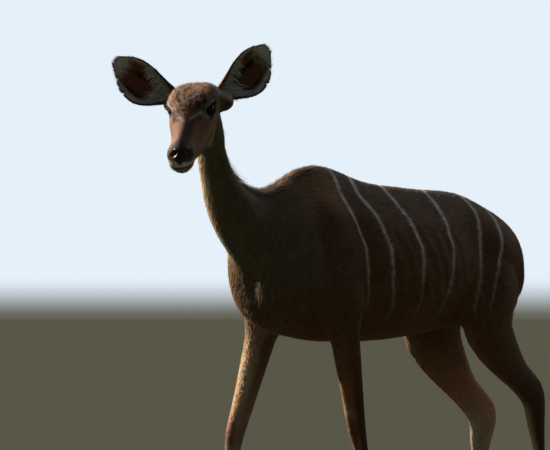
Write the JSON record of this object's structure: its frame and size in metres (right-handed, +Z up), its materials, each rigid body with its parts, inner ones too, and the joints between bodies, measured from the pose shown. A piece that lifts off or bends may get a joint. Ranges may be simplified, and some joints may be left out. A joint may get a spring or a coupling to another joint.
{
  "type": "greater kudu cow figure",
  "caption": "Life-size still model of a greater kudu cow in mid stride, with its head turned to its left and its ears spread.",
  "frame": {"origin": "on the floor, under the middle of the whole animal's box", "axes": "+Z up, -Y the way the animal walks, +X its left side"},
  "size_m": [0.4248, 1.8304, 1.6021],
  "materials": {
    "hide": "short matt coat of hair",
    "horn": "dull sheen",
    "eye": "wet gloss"
  },
  "bodies": {
    "root": {"head": "hide", "neck": "hide", "trunk": "hide", "tail": "hide", "left_ear": "hide", "right_ear": "hide", "left_foreleg": "hide", "right_foreleg": "hide", "left_hindleg": "hide", "right_hindleg": "hide", "left_eye": "eye", "right_eye": "eye", "left_foreleg_outer_claw": "horn", "left_foreleg_inner_claw": "horn", "right_foreleg_outer_claw": "horn", "right_foreleg_inner_claw": "horn", "left_hindleg_outer_claw": "horn", "left_hindleg_inner_claw": "horn", "right_hindleg_outer_claw": "horn", "right_hindleg_inner_claw": "horn", "left_foreleg_outer_dewclaw": "horn", "left_foreleg_inner_dewclaw": "horn", "right_foreleg_outer_dewclaw": "horn", "right_foreleg_inner_dewclaw": "horn", "left_hindleg_outer_dewclaw": "horn", "left_hindleg_inner_dewclaw": "horn", "right_hindleg_outer_dewclaw": "horn", "right_hindleg_inner_dewclaw": "horn"}
  },
  "joints": []
}
